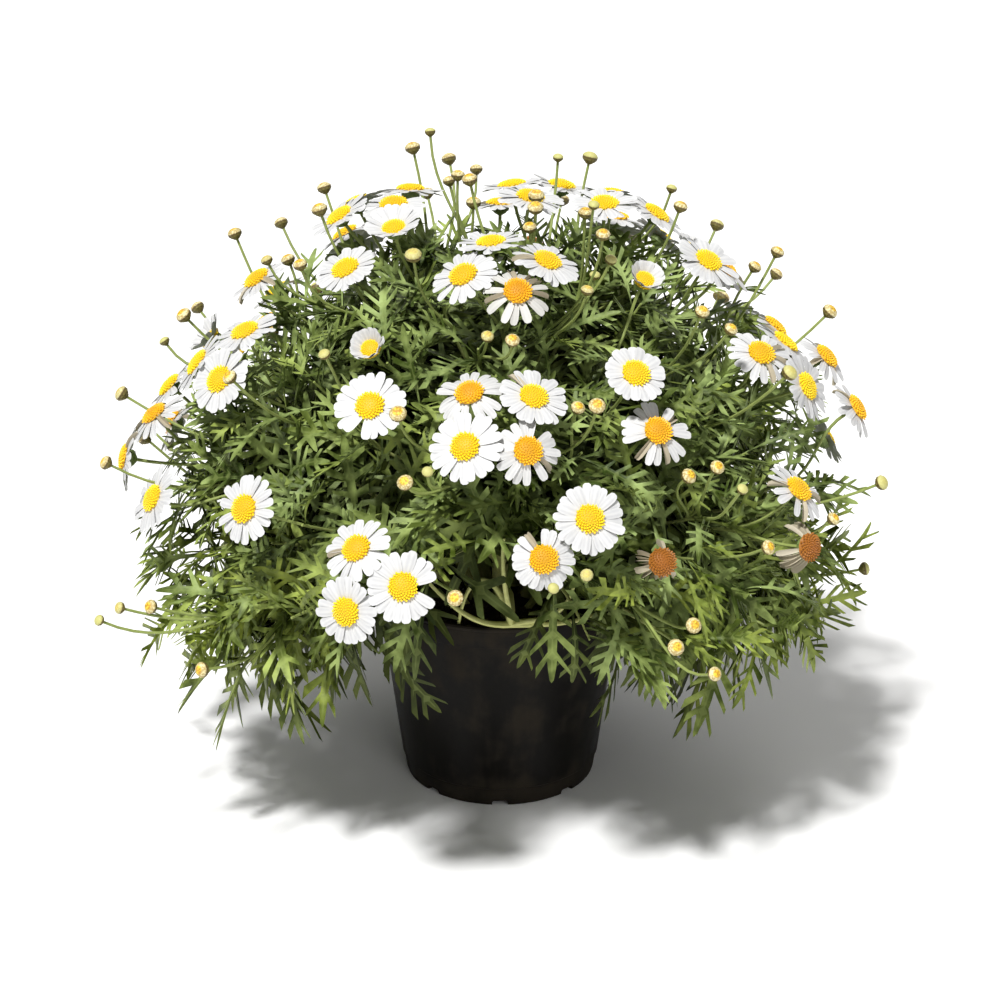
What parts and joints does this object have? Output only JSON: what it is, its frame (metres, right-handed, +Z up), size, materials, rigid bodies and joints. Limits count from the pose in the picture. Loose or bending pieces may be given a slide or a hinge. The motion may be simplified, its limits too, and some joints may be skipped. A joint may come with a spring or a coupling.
{
  "type": "potted marguerite daisy",
  "caption": "Rounded, bushy daisy plant with cut green leaves, white yellow-eyed flowers and round buds, in a tapered black nursery pot.",
  "frame": {"origin": "centre of the pot's flat base, on the surface that it stands on", "axes": "+Z up along the pot's axis, -Y towards the side that the picture shows"},
  "size_m": [0.4299, 0.437, 0.3539],
  "materials": {
    "pot_plastic": "thin black nursery plastic, satin, lightly dusty",
    "potting_soil": "dark crumbly peat compost",
    "foliage": "green cut leaves, pale green stems and bud cups",
    "white_rays": "matt white ray petals with fine lengthwise veins",
    "yellow_disc": "granular yellow disc florets, orange when old"
  },
  "bodies": {
    "root": {"pot": "pot_plastic", "soil": "potting_soil", "leafy_branch_1": "foliage", "leafy_branch_2": "foliage", "leafy_branch_3": "foliage", "leafy_branch_4": "foliage", "leafy_branch_5": "foliage", "rays_01": "white_rays", "rays_02": "white_rays", "rays_03": "white_rays", "rays_04": "white_rays", "rays_05": "white_rays", "rays_06": "white_rays", "rays_07": "white_rays", "rays_08": "white_rays", "rays_09": "white_rays", "rays_10": "white_rays", "rays_11": "white_rays", "rays_12": "white_rays", "rays_13": "white_rays", "disc_01": "yellow_disc", "disc_02": "yellow_disc", "disc_03": "yellow_disc", "disc_04": "yellow_disc", "disc_05": "yellow_disc", "disc_06": "yellow_disc", "disc_07": "yellow_disc", "disc_08": "yellow_disc", "disc_09": "yellow_disc", "disc_10": "yellow_disc", "disc_11": "yellow_disc", "disc_12": "yellow_disc", "disc_13": "yellow_disc", "disc_14": "yellow_disc", "disc_15": "yellow_disc", "disc_16": "yellow_disc", "disc_17": "yellow_disc", "disc_18": "yellow_disc", "disc_19": "yellow_disc", "disc_20": "yellow_disc", "disc_21": "yellow_disc", "disc_22": "yellow_disc", "disc_23": "yellow_disc", "disc_24": "yellow_disc", "disc_25": "yellow_disc", "disc_26": "yellow_disc", "disc_27": "yellow_disc", "disc_28": "yellow_disc", "disc_29": "yellow_disc", "disc_30": "yellow_disc", "disc_31": "yellow_disc", "disc_32": "yellow_disc", "disc_33": "yellow_disc", "disc_34": "yellow_disc", "disc_35": "yellow_disc", "disc_36": "yellow_disc", "disc_37": "yellow_disc", "disc_38": "yellow_disc", "disc_39": "yellow_disc"}
  },
  "joints": []
}
